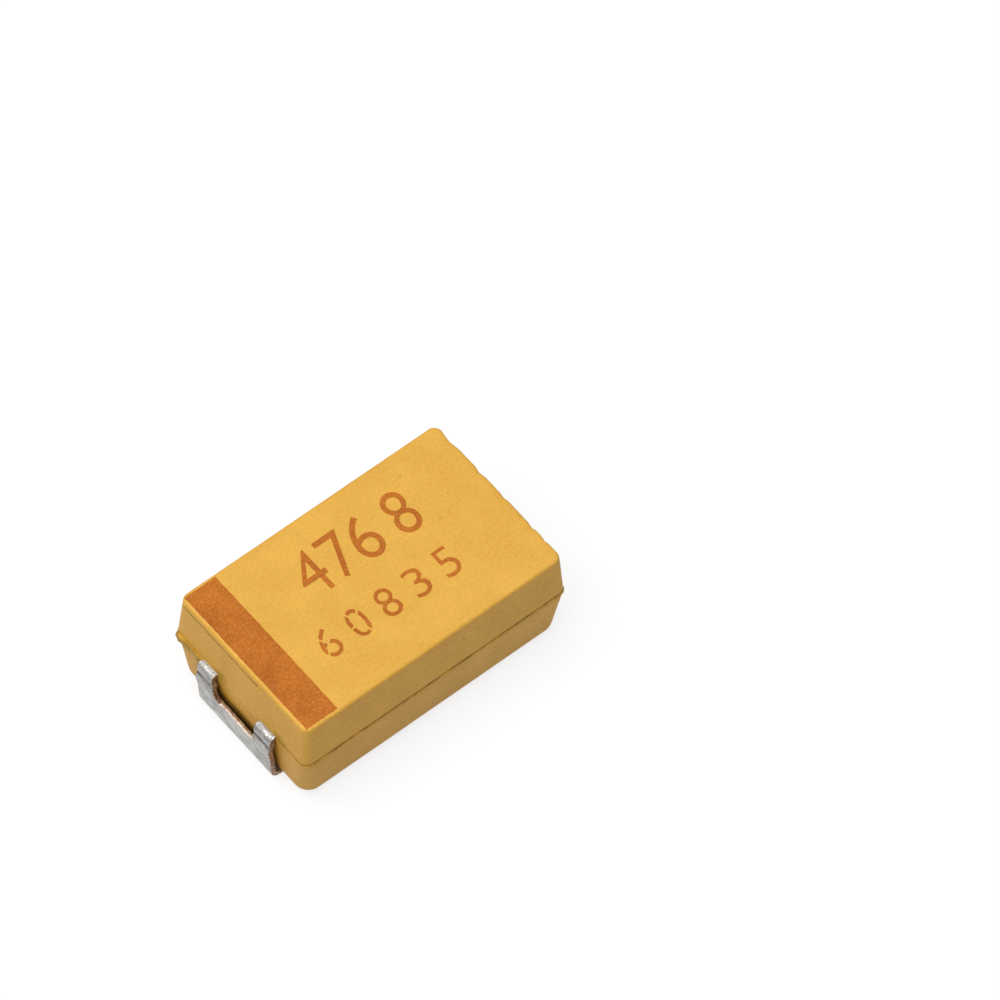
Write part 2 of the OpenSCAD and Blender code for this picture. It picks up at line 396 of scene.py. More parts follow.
def make_painted_shade_line():
    """Broken line of painted shade at one height, darkening a groove or crease where shade falls.

    It shows where x is below Up To, y is above From and y is further than Off Centre from 0.
    """
    group, nodes, links, start, end = new_group(
        "painted_shade_line",
        [("Colour", "c", (0.8, 0.8, 0.8, 1)), ("Dirt", "c", (0.1, 0.04, 0.01, 1)),
         ("Height", "f", 1.5), ("Half Width", "f", 0.03), ("Up To", "f", 10.0),
         ("From", "f", -10.0), ("Off Centre", "f", -1.0), ("Breaks", "f", 0.5),
         ("Strength", "f", 0.6)],
        [("Colour", "c")],
    )
    place = millimetres(nodes, links)
    apart = nodes.new("ShaderNodeSeparateXYZ")
    links.new(place, apart.inputs[0])
    off = maths(nodes, links, "SUBTRACT", apart.outputs[2], start.outputs["Height"])
    off = maths(nodes, links, "ABSOLUTE", off)
    off = maths(nodes, links, "DIVIDE", off, start.outputs["Half Width"])
    line = node(nodes, "ShaderNodeMath", operation="SUBTRACT", use_clamp=True)
    line.inputs[0].default_value = 1.0
    links.new(off, line.inputs[1])
    reach = maths(nodes, links, "LESS_THAN", apart.outputs[0], start.outputs["Up To"])
    beyond = maths(nodes, links, "GREATER_THAN", apart.outputs[1], start.outputs["From"])
    off_centre = maths(nodes, links, "ABSOLUTE", apart.outputs[1])
    off_centre = maths(nodes, links, "GREATER_THAN", off_centre, start.outputs["Off Centre"])
    ragged = remap(nodes, links, noise_map(nodes, links, place, 3.2, 4.0, 0.7), 0.36, 0.58)
    ragged = maths(nodes, links, "MULTIPLY", ragged, start.outputs["Breaks"])
    whole = maths(nodes, links, "SUBTRACT", 1.0, start.outputs["Breaks"])
    amount = maths(nodes, links, "ADD", ragged, whole)
    for factor in (line.outputs[0], reach, beyond, off_centre, start.outputs["Strength"]):
        amount = maths(nodes, links, "MULTIPLY", amount, factor)
    colour = blend_colours(nodes, links, amount, start.outputs["Colour"], start.outputs["Dirt"])
    links.new(colour, end.inputs["Colour"])
    return group


def make_stain_and_shade():
    """Soft-edged patch of colour round one place, as far as Reach along each axis, in millimetres,
    used for real stains and for painted shade.
    """
    group, nodes, links, start, end = new_group(
        "stain_and_shade",
        [("Colour", "c", (0.8, 0.8, 0.8, 1)), ("Stain", "c", (0.3, 0.2, 0.02, 1)),
         ("Place", "v", (0, 0, 0)), ("Reach", "v", (0.1, 0.1, 0.1)),
         ("Ragged", "f", 0.3), ("Strength", "f", 0.6)],
        [("Colour", "c")],
    )
    place = millimetres(nodes, links)
    away = node(nodes, "ShaderNodeVectorMath", operation="SUBTRACT")
    links.new(place, away.inputs[0])
    links.new(start.outputs["Place"], away.inputs[1])
    share = node(nodes, "ShaderNodeVectorMath", operation="DIVIDE")
    links.new(away.outputs[0], share.inputs[0])
    links.new(start.outputs["Reach"], share.inputs[1])
    size = node(nodes, "ShaderNodeVectorMath", operation="LENGTH")
    links.new(share.outputs[0], size.inputs[0])
    lumps = remap(nodes, links, noise_map(nodes, links, place, 7.0, 3.0), 0.3, 0.7, -1.0, 1.0)
    lumps = maths(nodes, links, "MULTIPLY", lumps, start.outputs["Ragged"])
    edge = maths(nodes, links, "ADD", size.outputs["Value"], lumps)
    mask = remap(nodes, links, edge, 1.0, 0.35)
    amount = maths(nodes, links, "MULTIPLY", mask, start.outputs["Strength"])
    colour = blend_colours(nodes, links, amount, start.outputs["Colour"], start.outputs["Stain"])
    links.new(colour, end.inputs["Colour"])
    return group


GRAIN = make_grain()
SPECKS = make_specks()
PAINTED_SHADE_LINE = make_painted_shade_line()
STAIN_AND_SHADE = make_stain_and_shade()
SCUFFS = make_scuffs()


def place_group(nodes, group, **values):
    """A group with its inputs set, where _ in a name stands for a space."""
    made = nodes.new("ShaderNodeGroup")
    made.node_tree = group
    for label, value in values.items():
        made.inputs[label.replace("_", " ")].default_value = value
    return made


def new_material(name, **shader_values):
    """A material with its Principled shader, as (material, nodes, links, shader)."""
    material = bpy.data.materials.new(name)
    material.use_nodes = True
    nodes, links = material.node_tree.nodes, material.node_tree.links
    shader = nodes["Principled BSDF"]
    for label, value in shader_values.items():
        shader.inputs[label.replace("_", " ")].default_value = value
    return material, nodes, links, shader


def add_bump(nodes, links, shader, height, distance_mm):
    bump = nodes.new("ShaderNodeBump")
    bump.inputs["Distance"].default_value = distance_mm / 1000
    links.new(height, bump.inputs["Height"])
    links.new(bump.outputs["Normal"], shader.inputs["Normal"])


def vary_roughness(nodes, links, shader, value, ends, span=(0.3, 0.7)):
    """Roughness that runs from one end to the other as a value crosses its span."""
    links.new(remap(nodes, links, value, *span, *ends), shader.inputs["Roughness"])


def resin_marks(nodes):
    """Dark specks, painted shade along the mould's lines, stains at the ears and painted shade behind
    the legs.
    """
    # Brown of the painted shade along the mould's lines
    brown = (0.12, 0.05, 0.012, 1)
    specks = place_group(
        nodes, SPECKS, Speck=(0.3, 0.13, 0.02, 1), Density=4.0, Size=0.1, Rarity=0.9, Strength=0.5,
    )
    # Painted shade at the parting line: a dark line over the ridge where its groove lies in shade, and
    # a broken one under it where its pits do
    over_parting = place_group(
        nodes, PAINTED_SHADE_LINE, Dirt=brown, Height=PARTING_Z + 0.032, Half_Width=0.048,
        Off_Centre=EAR_CLEAR_Y, Breaks=0.7, Strength=1.0,
    )
    under_parting = place_group(
        nodes, PAINTED_SHADE_LINE, Dirt=brown, Height=PARTING_Z - 0.065, Half_Width=0.03,
        Off_Centre=EAR_CLEAR_Y, Breaks=1.0, Strength=0.35,
    )
    # Painted shade along the witness groove under the top edge of the anode end
    witness = place_group(
        nodes, PAINTED_SHADE_LINE, Dirt=brown, Height=RESIN_TOP_Z - WITNESS_DROP, Half_Width=0.04,
        Up_To=-HALF_L + 0.1, From=-0.5, Breaks=0.4, Strength=1.0,
    )
    stains = [
        place_group(
            nodes, STAIN_AND_SHADE, Stain=(0.40, 0.23, 0.008, 1), Place=(-HALF_L, y, PARTING_Z + 0.1),
            Reach=(0.4, 0.24, 0.22), Ragged=0.25, Strength=0.75,
        )
        for y in (SLOT_Y[1] - 0.09, -HALF_SHEET - 0.09)
    ]
    # Painted shade in the gap behind each leg, near black: the shadow of the gap, with a little dirt
    painted_shade_behind_legs = [
        place_group(
            nodes, STAIN_AND_SHADE, Stain=(0.05, 0.022, 0.008, 1), Place=(side * HALF_L, 0, 0.4),
            Reach=(0.4, 1.35, 0.68), Ragged=0.06, Strength=0.95,
        )
        for side in (-1, 1)
    ]
    return [specks, over_parting, under_parting, witness, *stains, *painted_shade_behind_legs]


def moulded_resin():
    """Matt mustard epoxy with a fine grain, specks and stains of handling, and painted shade along the
    mould's lines and behind the legs.
    """
    material, nodes, links, shader = new_material("moulded_resin", Specular_IOR_Level=0.4)
    grain = place_group(
        nodes, GRAIN, Colour=(0.84, 0.462, 0.066, 1), Dark=(0.70, 0.355, 0.042, 1),
        Fineness=15.0, Mottling=0.35,
    )
    colour = grain.outputs["Colour"]
    for mark in resin_marks(nodes):
        links.new(colour, mark.inputs["Colour"])
        colour = mark.outputs["Colour"]
    links.new(colour, shader.inputs["Base Color"])
    vary_roughness(nodes, links, shader, grain.outputs["Height"], (0.5, 0.64))
    add_bump(nodes, links, shader, grain.outputs["Height"], 0.006)
    return material


def seeped_resin():
    """Amber resin where the moulding seeped past the mould, darker in its folds."""
    material, nodes, links, shader = new_material("seeped_resin", Specular_IOR_Level=0.35)
    grain = place_group(
        nodes, GRAIN, Colour=(0.64, 0.37, 0.02, 1), Dark=(0.26, 0.115, 0.008, 1),
        Fineness=6.0, Mottling=0.4,
    )
    links.new(grain.outputs["Colour"], shader.inputs["Base Color"])
    vary_roughness(nodes, links, shader, grain.outputs["Height"], (0.4, 0.55))
    add_bump(nodes, links, shader, grain.outputs["Height"], 0.01)
    return material


def marking():
    """Orange-brown marking, with tiny pale specks where the resin shows through."""
    material, nodes, links, shader = new_material("marking", Specular_IOR_Level=0.22)
    grain = place_group(
        nodes, GRAIN, Colour=(0.62, 0.195, 0.018, 1), Dark=(0.37, 0.09, 0.006, 1),
        Fineness=16.0, Mottling=0.4,
    )
    specks = place_group(
        nodes, SPECKS, Speck=(0.85, 0.45, 0.12, 1), Density=15.0, Size=0.24,
        Rarity=0.45, Strength=0.26,
    )
    links.new(grain.outputs["Colour"], specks.inputs["Colour"])
    links.new(specks.outputs["Colour"], shader.inputs["Base Color"])
    vary_roughness(nodes, links, shader, grain.outputs["Height"], (0.52, 0.66))
    add_bump(nodes, links, shader, grain.outputs["Height"], 0.006)
    return material


def scuffed_metal(name, metallic, scuffs, grain, scuffed, roughness, bump_mm):
    """Scuffed sheet metal, as (material, nodes, links, shader, colour output)."""
    material, nodes, links, shader = new_material(name, Metallic=metallic)
    scuffs = place_group(nodes, SCUFFS, **scuffs)
    grain = place_group(nodes, GRAIN, **grain)
    mask = scuffs.outputs["Mask"]
    colour = blend_colours(nodes, links, mask, grain.outputs["Colour"], scuffed)
    links.new(colour, shader.inputs["Base Color"])
    vary_roughness(nodes, links, shader, mask, roughness, (0.0, 1.0))
    add_bump(nodes, links, shader, scuffs.outputs["Height"], bump_mm)
    return material, nodes, links, shader, colour


def tin_plate():
    """Matt tin plate, scuffed, a little tarnished and pitted, with painted shade in its crease."""
    material, nodes, links, shader, colour = scuffed_metal(
        "tin_plate", 0.9, dict(Scratches=7.0, Pits=14.0, Stretch=0.4),
        dict(Colour=(0.55, 0.54, 0.52, 1), Dark=(0.29, 0.28, 0.26, 1), Fineness=7.0, Mottling=0.5),
        (0.60, 0.595, 0.58, 1), (0.52, 0.4), 0.0035,
    )
    pits = place_group(
        nodes, SPECKS, Speck=(0.09, 0.08, 0.07, 1), Density=8.0, Size=0.15,
        Rarity=0.65, Strength=0.6,
    )
    # Painted shade along the crease under the ears, standing in for the shade in its groove
    painted_crease_shade = place_group(
        nodes, PAINTED_SHADE_LINE, Dirt=(0.04, 0.028, 0.02, 1), Height=CREASE_Z, Half_Width=0.045,
        Breaks=0.6, Strength=0.9,
    )
    links.new(colour, pits.inputs["Colour"])
    links.new(pits.outputs["Colour"], painted_crease_shade.inputs["Colour"])
    links.new(painted_crease_shade.outputs["Colour"], shader.inputs["Base Color"])
    return material


def smeared_lip_and_highlight():
    """Bright outer lip of the slot's floor: tin smeared over the cut edge, with a painted highlight
    where it faces up to the lamp.
    """
    return scuffed_metal(
        "smeared_lip_and_highlight", 0.35, dict(Scratches=6.0, Pits=9.0, Stretch=1.0),
        dict(Colour=(0.92, 0.84, 0.76, 1), Dark=(0.3, 0.17, 0.1, 1), Fineness=9.0, Mottling=0.4),
        (0.95, 0.92, 0.88, 1), (0.45, 0.3), 0.004,
    )[0]


def sheared_edge():
    """Bare brown copper alloy where the sheet was sheared."""
    return scuffed_metal(
        "sheared_edge", 0.8, dict(Scratches=14.0, Pits=10.0, Stretch=1.0),
        dict(
            Colour=(0.44, 0.25, 0.13, 1), Dark=(0.16, 0.085, 0.045, 1),
            Fineness=9.0, Mottling=0.5,
        ),
        (0.55, 0.42, 0.3, 1), (0.6, 0.42), 0.008,
    )[0]


def plain_finish(name, colour, dark, fineness, roughness, bump_mm, metallic):
    """A grained finish for the pieces inside the case."""
    material, nodes, links, shader = new_material(name, Metallic=metallic)
    grain = place_group(
        nodes, GRAIN, Colour=(*colour, 1), Dark=(*dark, 1), Fineness=fineness, Mottling=0.4,
    )
    links.new(grain.outputs["Colour"], shader.inputs["Base Color"])
    ends = (roughness - 0.08, roughness + 0.08)
    vary_roughness(nodes, links, shader, grain.outputs["Height"], ends)
    add_bump(nodes, links, shader, grain.outputs["Height"], bump_mm)
    return material


# ---------------------------------------------------------------- moulded case


def drafted_walls():
    """Both halves of the moulding, leaning in from the parting plane."""
    ob = block("moulded_case", (-HALF_L, -HALF_W, LEDGE_Z), (HALF_L, HALF_W, RESIN_TOP_Z))
    cut(2, [PARTING_Z])
    for level, inset in ((RESIN_TOP_Z, UPPER_INSET), (LEDGE_Z, LOWER_INSET)):
        choose(ob, "VERT", lambda v: abs(v.co.z - level) < TINY)
        bpy.ops.transform.resize(
            value=((HALF_L - inset) / HALF_L, (HALF_W - inset) / HALF_W, 1),
            center_override=(0, 0, level),
        )
    return ob


def round_upright_corners(ob):
    """Rounds the four upright corners, more at the foot than at the parting plane."""
    choose(ob, "EDGE", lambda e: along(e, 2) > 0.9)
    bpy.ops.mesh.bevel(offset=CORNER_R, offset_type="OFFSET", segments=8, affect="EDGES")
    bpy.ops.object.mode_set(mode="OBJECT")
    side_x, side_y = HALF_L - LOWER_INSET, HALF_W - LOWER_INSET
    for vertex in ob.data.vertices:
        x, y, z = vertex.co
        if abs(z - LEDGE_Z) > TINY:
            continue
        turn = math.atan2(abs(y) - side_y + CORNER_R, abs(x) - side_x + CORNER_R)
        turn = min(math.pi / 2, max(0.0, turn))
        vertex.co.x = math.copysign(side_x - FOOT_CORNER_R + FOOT_CORNER_R * math.cos(turn), x)
        vertex.co.y = math.copysign(side_y - FOOT_CORNER_R + FOOT_CORNER_R * math.sin(turn), y)
    bpy.ops.object.mode_set(mode="EDIT")


def round_rims(ob):
    choose(ob, "EDGE", lambda e: all(abs(v.co.z - RESIN_TOP_Z) < TINY for v in e.verts))
    bpy.ops.mesh.bevel(offset=TOP_EDGE_R, offset_type="OFFSET", segments=4, affect="EDGES")
    choose(ob, "EDGE", lambda e: all(abs(v.co.z - LEDGE_Z) < TINY for v in e.verts))
    bpy.ops.mesh.bevel(offset=BOTTOM_EDGE_R, offset_type="OFFSET", segments=5, affect="EDGES")


def underside_panel():
    """Raised panel between the pads, with its corners and lower edge rounded."""
    half_x, half_y = PANEL_HALF
    panel = block("panel", (-half_x, -half_y, PANEL_Z), (half_x, half_y, LEDGE_Z + 0.2))
    choose(panel, "EDGE", lambda e: along(e, 2) > 0.9)
    bpy.ops.mesh.bevel(offset=0.15, segments=6, affect="EDGES")
    choose(panel, "EDGE", lambda e: all(abs(v.co.z - PANEL_Z) < TINY for v in e.verts))
    bpy.ops.mesh.bevel(offset=0.04, segments=3, affect="EDGES")
    bpy.ops.object.mode_set(mode="OBJECT")
    return panel


def flash_line(place, normal):
    """Thin ragged ridge at the parting line, with a groove over it and pits under it.

    It all but fades between the ears.
    """
    out = Vector((normal.x, normal.y, 0))
    if out.length < 0.5:
        return Vector()
    out.normalize()
    up = place.z - PARTING_Z
    ragged = 0.5 + 0.5 * rough(place, 2.2, 3.0) + 0.35 * rough(place, 9.0, 8.0)
    ridge = hump(up, -0.012, 0.03) * (0.010 + 0.016 * max(0.0, min(1.0, ragged)))
    groove = hump(up, 0.035, 0.03) * (0.016 + 0.010 * ragged)
    pit = hump(up, -0.06, 0.03) * 0.03 * ramp(rough(place, 5.0, 21.0), 0.18, 0.45)
    at_end = ramp(abs(place.x), HALF_L - 0.15, HALF_L - 0.05)
    at_ears = at_end * (1 - ramp(abs(place.y), 1.16, 1.26))
    return out * (ridge - groove - pit) * (1 - 0.9 * at_ears)


def witness_line(place, normal):
    """Fine line left by the mould under the top edge of the anode end."""
    if normal.x > -0.5:
        return Vector()
    deep = 0.03 * hump(place.z, RESIN_TOP_Z - WITNESS_DROP, 0.022) * ramp(place.y, -1.2, 0.2)
    return Vector((deep, 0, 0))


# Chips of the top edge at the cathode end: y, half length and depth
CHIPS = (
    (1.58, 0.34, 0.036), (0.62, 0.16, 0.03), (-0.18, 0.14, 0.025),
    (-1.08, 0.13, 0.03), (-1.5, 0.12, 0.025),
)


def chipped_edge(place, normal):
    """Small chips and waves along the top edge of the cathode end."""
    near = ramp(place.x + place.z, HALF_L + RESIN_TOP_Z - 0.30, HALF_L + RESIN_TOP_Z - 0.12)
    if near <= 0 or place.x < 0:
        return Vector()
    deep = 0.008 + 0.008 * rough(place, 4.0, 12.0)
    for y, half, depth in CHIPS:
        deep += depth * hump(place.y, y, half)
    return Vector((-0.75, 0, -0.65)) * (deep * near)


def uneven_skin(place, normal):
    """Slight sinks and waves of the moulded skin, always inwards."""
    return -normal * (0.0034 + 0.0022 * rough(place, 0.9, 5.0) + 0.0012 * rough(place, 5.0, 15.0))


def shape_case():
    ob = drafted_walls()
    round_upright_corners(ob)
    round_rims(ob)
    bpy.ops.object.mode_set(mode="OBJECT")
    combine(ob, underside_panel(), "UNION")
    bpy.ops.object.mode_set(mode="EDIT")
    near_parting = (-0.12, -0.09, -0.06, -0.036, -0.012, 0.012, 0.035, 0.06, 0.09)
    cut(2, [PARTING_Z + dz for dz in near_parting])
    cut(2, [RESIN_TOP_Z - dz for dz in (0.145, WITNESS_DROP, 0.195)])
    cut(2, steps(LEDGE_Z + 0.2, PARTING_Z - 0.16, 7))
    cut(2, steps(PARTING_Z + 0.14, RESIN_TOP_Z - 0.24, 6))
    cut(1, steps(-HALF_W + 0.2, HALF_W - 0.2, 48))
    cut(0, steps(-HALF_L + 0.2, HALF_L - 0.2, 62))
    for how in (uneven_skin, flash_line, witness_line, chipped_edge):
        push(ob, how)
    return ob


# ---------------------------------------------------------------- seeped resin


SEEP_OUT = 0.065


def shape_seep():
    """Lumpy bead that seeped out at the parting line, from the anode terminal to the corner."""
    ob = block(
        "seeped_bead", (-HALF_L - 0.05, HALF_SHEET - 0.06, PARTING_Z - 0.17),
        (-HALF_L + 0.1, HALF_W - 0.08, PARTING_Z + 0.06),
    )
    soften_edges(ob, 0.04, 40, 4)
    bpy.ops.object.mode_set(mode="EDIT")
    cut(1, steps(HALF_SHEET, HALF_W - 0.1, 26))
    cut(2, steps(PARTING_Z - 0.13, PARTING_Z + 0.02, 6))

    def lumps(place, normal):
        fade = ramp(place.y, HALF_W - 0.08, HALF_W - 0.2)
        move = normal * (0.04 * rough(place, 6.5, 2.0) + 0.014 * rough(place, 15.0, 6.0))
        if place.x < -HALF_L:
            move.x += 0.03 * (1 - fade)
        move.x = max(move.x, -HALF_L - SEEP_OUT - place.x)
        return move

    push(ob, lumps)
    return ob


# ---------------------------------------------------------------- terminals


def turn_end(angle, centre, count):
    """Bends the selected end of a sheet round a line across it."""
    bpy.ops.mesh.spin(
        steps=count, dupli=False, angle=angle, center=(centre[0], 0, centre[1]),
        axis=(0, 1, 0), use_auto_merge=False,
    )


def run_end(vector):
    bpy.ops.mesh.extrude_region_move(TRANSFORM_OT_translate={"value": vector})


def narrow_end(share):
    """Steps the selected end in to a narrower sheet."""
    run_end((0, 0, 0))
    bpy.ops.transform.resize(value=(1, share, 1))


def folded_sheet(name):
    """Pad, bend, leg and ear of the cathode side, folded up from the pad."""
    ear_x, ear_z = OUTER_X - EAR_R, PARTING_Z - SHEET_T / 2 - (EAR_R - SHEET_T)
    pad_x = ear_x + (EAR_R - PAD_R + (PAD_R - ear_z) * math.sin(LEAN)) / math.cos(LEAN)
    ob = block(name, (PAD_END_X, -HALF_SHEET, 0), (pad_x, HALF_SHEET, SHEET_T))
    choose(ob, "FACE", lambda f: f.normal.x > 0.9)
    turn_end(math.pi / 2 - LEAN, (pad_x, PAD_R), 10)
    out = Vector((math.cos(LEAN), 0, -math.sin(LEAN)))
    run_end(Vector((ear_x - pad_x, 0, ear_z - PAD_R)) + (EAR_R - PAD_R) * out)
    turn_end(math.pi / 2 + LEAN, (ear_x, ear_z), 10)
    return ob, ear_x


def anode_inside(ear_x):
    """Shoulder inside the case, and the tab that the wire is welded to."""
    run_end((HALF_L - SHOULDER - ear_x, 0, 0))
    narrow_end(TAB_W / (2 * HALF_SHEET))
    run_end((-TAB_L, 0, 0))


def cathode_inside(ear_x):
    """Riser and tongue inside the case, over the end of the pellet."""
    riser_x = HALF_L - SHOULDER - SHEET_T
    run_end((riser_x + SHEET_T + RISER_BEND_R - ear_x, 0, 0))
    narrow_end(TONGUE_W / (2 * HALF_SHEET))
    low_z = PARTING_Z + SHEET_T / 2 + RISER_BEND_R
    turn_end(-math.pi / 2, (riser_x + SHEET_T + RISER_BEND_R, low_z), 6)
    tongue_z = CATHODE_HIGH.z - SHEET_T
    run_end((0, 0, tongue_z - TONGUE_BEND_R - low_z))
    turn_end(math.pi / 2, (riser_x - TONGUE_BEND_R, tongue_z - TONGUE_BEND_R), 6)
    run_end((-TONGUE_L, 0, 0))


def slot_cutter():
    """What the slot between the ears takes away, with its sloped corner."""
    y0, y1 = SLOT_Y
    tool = block("slot_cutter", (HALF_L - SLOT_IN, y0, SLOT_Z), (OUTER_X + 0.4, y1, 2.0))
    cut(2, [SLOT_Z + SLOPE_H])
    choose(tool, "VERT", lambda v: abs(v.co.z - SLOT_Z) < TINY and v.co.y > 0)
    bpy.ops.transform.translate(value=(0, -SLOPE_W, 0))

    def at_foot_of_slope(edge):
        place = middle(edge)
        return along(edge, 0) > 0.9 and abs(place.z - SLOT_Z) < TINY and place.y > 0

    choose(tool, "EDGE", at_foot_of_slope)
    bpy.ops.mesh.bevel(offset=0.08, segments=5, affect="EDGES")
    bpy.ops.object.mode_set(mode="OBJECT")
    return tool


def handled_sheet(seed, bulge):
    """Creases at the ears, a bulge under them and small dents, kept inside the sheet's outline."""

    def how(place, normal):
        move = Vector()
        if 0.3 < place.z < PARTING_Z and place.x > LEG_FROM_X:
            wave = 0.7 + 0.5 * rough(place, 2.5, seed)
            move.x -= 0.035 * ramp(place.z, CREASE_Z - 0.05, CREASE_Z + 0.02)
            move.x -= 0.032 * hump(place.z, CREASE_Z, 0.045) * wave
            move.x += bulge * hump(place.z, 1.06, 0.3) * wave
        if (normal.x > 0.3 and place.x > LEG_FROM_X) or normal.z < -0.5:
            dents = 0.004 * rough(place, 4.0, seed + 4)
            move -= normal * (0.005 + dents + 0.002 * rough(place, 12.0, seed + 9))
        move.x = min(move.x, OUTER_X - place.x)
        move.z = max(move.z, -place.z)
        return move

    return how


def mark_sheared_faces(ob):
    """Gives the cut edges of the sheet the second finish, and the slot's outer lip the third."""
    for face in ob.data.polygons:
        n, c = face.normal, face.center
        in_slot = SLOT_Y[0] < c.y < SLOT_Y[1] and c.x > PAD_FLAT_X
        at_slot = in_slot and abs(c.z - SLOT_Z) < 0.03
        side = abs(n.y) > 0.3
        pad_end = n.x < -0.6 and abs(c.x - PAD_END_X) < 0.02
        # The outer lip of the slot's floor, facing up, gets the bright third finish: smeared tin with
        # a painted highlight
        if at_slot and n.z > 0.5 and abs(n.y) < 0.3 and c.x > OUTER_X - 0.07:
            face.material_index = 2
        elif side or pad_end or (at_slot and n.z > 0.3):
            face.material_index = 1


def shape_terminal(name, inside, seed, bulge):
    """One terminal, modelled at the cathode end."""
    ob, ear_x = folded_sheet(name)
    inside(ear_x)
    set_outward()
    bpy.ops.object.mode_set(mode="OBJECT")
    combine(ob, slot_cutter(), "DIFFERENCE")
    soften_edges(ob, 0.014, 50, 2)
    bpy.ops.object.mode_set(mode="EDIT")
    cut(1, steps(-HALF_SHEET + 0.03, HALF_SHEET - 0.03, 34))
    cut(2, steps(0.3, PARTING_Z - 0.12, 32))
    cut(0, steps(PAD_END_X + 0.03, PAD_FLAT_X, 12) + [OUTER_X - LIP_WIDTH])
    push(ob, handled_sheet(seed, bulge))
    return ob


def turn_to_anode_end(ob):
    """Mirrors a finished terminal to the other end."""
    only(ob)
    bpy.ops.object.mode_set(mode="EDIT")
    bpy.ops.mesh.select_all(action="SELECT")
    bpy.ops.transform.resize(value=(-1, 1, 1), center_override=(0, 0, 0))
    set_outward()
    bpy.ops.object.mode_set(mode="OBJECT")


# ---------------------------------------------------------------- marking


def shape_band():
    """Polarity band, a thin layer with slightly ragged edges."""
    low, high = BAND_LOW.copy(), BAND_HIGH.copy()
    ob = block("polarity_mark", low, high)
    cut(1, steps(low.y, high.y, 60))
    cut(0, steps(low.x, high.x, 14))

    def ragged(place, normal):
        inward = 0.012 + 0.009 * rough(place, 8.0, 1.0) + 0.006 * rough(place, 20.0, 7.0)
        move = Vector()
        for axis in (0, 1):
            if place[axis] < low[axis] + TINY:
                move[axis] = inward
            elif place[axis] > high[axis] - TINY:
                move[axis] = -inward
        return move

    push(ob, ragged)
    return ob


FIGURE_HALF_T = 0.008
FIGURE_MIDDLE_Z = TOP_Z - 0.0085
GAP_HALF_W = 0.024


def stamp(character, x, y, width, height):
    """One figure of the marking, as a thin layer on the top face, from its lower left corner."""
    deselect_all()
    bpy.ops.object.text_add()
    ob = bpy.context.active_object
    ob.data.body = character
    ob.data.extrude = FIGURE_HALF_T
    ob.data.offset = -0.006
    ob.data.resolution_u = 6
    only(ob)
    bpy.ops.object.convert(target="MESH")
    ob = bpy.context.active_object
    places = [v.co for v in ob.data.vertices]
    low = [min(p[a] for p in places) for a in (0, 1)]
    high = [max(p[a] for p in places) for a in (0, 1)]
    tall = height / (high[1] - low[1])
    wide = width / (high[0] - low[0])
    bpy.ops.object.mode_set(mode="EDIT")
    bpy.ops.mesh.select_all(action="SELECT")
    bpy.ops.mesh.remove_doubles(threshold=1e-5)
    bpy.ops.transform.translate(value=(-low[0], -low[1], 0))
    bpy.ops.transform.resize(value=(wide, tall, 1), center_override=(0, 0, 0))
    bpy.ops.transform.translate(value=(x, y, FIGURE_MIDDLE_Z))
    bpy.ops.object.mode_set(mode="OBJECT")
    return ob


def wear_gaps(ob, x, y, width, height, turns):
    """Breaks the stroke of a figure with narrow gaps that run out from its middle."""
    centre = (x + width / 2, y + height / 2, TOP_Z)
    for degrees in turns:
        tool = block(
            "gap", (centre[0], centre[1] - GAP_HALF_W, TOP_Z - 0.1),
            (centre[0] + height, centre[1] + GAP_HALF_W, TOP_Z + 0.1),
        )
        bpy.ops.transform.rotate(
            value=math.radians(degrees), orient_axis="Z", center_override=centre,
        )
        bpy.ops.object.mode_set(mode="OBJECT")
        combine(ob, tool, "DIFFERENCE")


# Upper row: each figure, where it starts and its width
UPPER_ROW = (("4", -1.22, 0.62), ("7", -0.48, 0.6), ("6", 0.18, 0.6), ("8", 1.16, 0.57))
UPPER_Y, UPPER_H = 0.30, 1.09
# Lower row: its figures, their spacing and their size
LOWER_ROW = "60835"
LOWER_X, LOWER_Y, LOWER_PITCH = -1.87, -1.03, 0.7745
LOWER_SIZE = (0.42, 0.72)


def shape_figures():
    """Two rows of figures, read along the case, the first two of the lower row worn."""
    made = [stamp(c, x, UPPER_Y, w, UPPER_H) for c, x, w in UPPER_ROW]
    lower = [
        stamp(c, LOWER_X + LOWER_PITCH * i, LOWER_Y, *LOWER_SIZE) for i, c in enumerate(LOWER_ROW)
    ]
    wear_gaps(lower[0], LOWER_X, LOWER_Y, *LOWER_SIZE, (125, 235, 320))
    wear_gaps(lower[1], LOWER_X + LOWER_PITCH, LOWER_Y, *LOWER_SIZE, (70, 165, 250, 300))
    made += lower
    deselect_all()
    for ob in made:
        ob.select_set(True)
    bpy.context.view_layer.objects.active = made[0]
    bpy.ops.object.join()
    ob = bpy.context.active_object
    ob.name = ob.data.name = "figures"

    def waver(place, normal):
        return Vector((rough(place, 9.0, 3.0), rough(place, 9.0, 13.0), 0)) * 0.01

    push(ob, waver)
    return ob


# ---------------------------------------------------------------- stage


